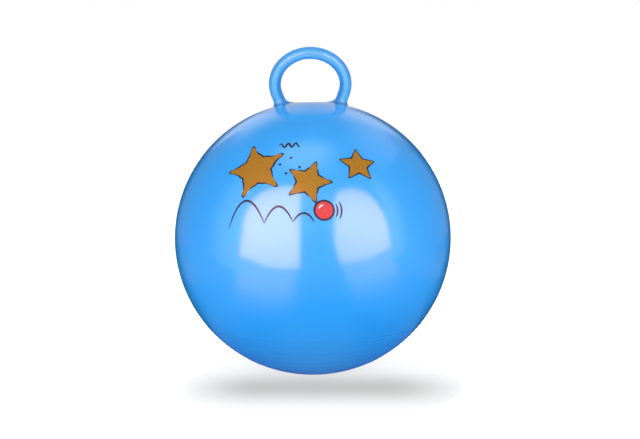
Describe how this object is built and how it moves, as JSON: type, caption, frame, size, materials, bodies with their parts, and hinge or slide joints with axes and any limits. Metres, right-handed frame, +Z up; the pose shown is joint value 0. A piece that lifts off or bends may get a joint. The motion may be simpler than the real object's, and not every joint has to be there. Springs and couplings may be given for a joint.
{
  "type": "hopper ball",
  "caption": "Inflatable bouncing ball to sit on, in soft glossy blue plastic, with a hollow ring handle on its crown and a push-in valve plug behind it.",
  "frame": {"origin": "centre of the flat that the ball rests on, on the ball's upright axis", "axes": "+Z up from the foot through the crown and the ring handle; X across the ring handle's two legs; +Y to the back of the ball, where the valve is, and -Y to its front, where the ring tilts to"},
  "size_m": [0.45, 0.45, 0.5279],
  "materials": {
    "ball_skin": "glossy soft vinyl, slightly see-through, with fine moulding rings underneath",
    "handle_skin": "glossy soft vinyl, slightly lighter than the ball",
    "valve_rubber": "satin soft vinyl",
    "plug_plastic": "satin white plastic"
  },
  "bodies": {
    "body": {"ball_shell": "ball_skin", "ring_handle": "handle_skin", "valve_seat": "valve_rubber"},
    "plug": {"valve_plug": "plug_plastic"}
  },
  "joints": [
    {"name": "valve_plug_pull", "type": "slide", "parent": "body", "child": "plug", "axis": [0, 0.6428, 0.766], "range_m": [0, 0.045]}
  ]
}
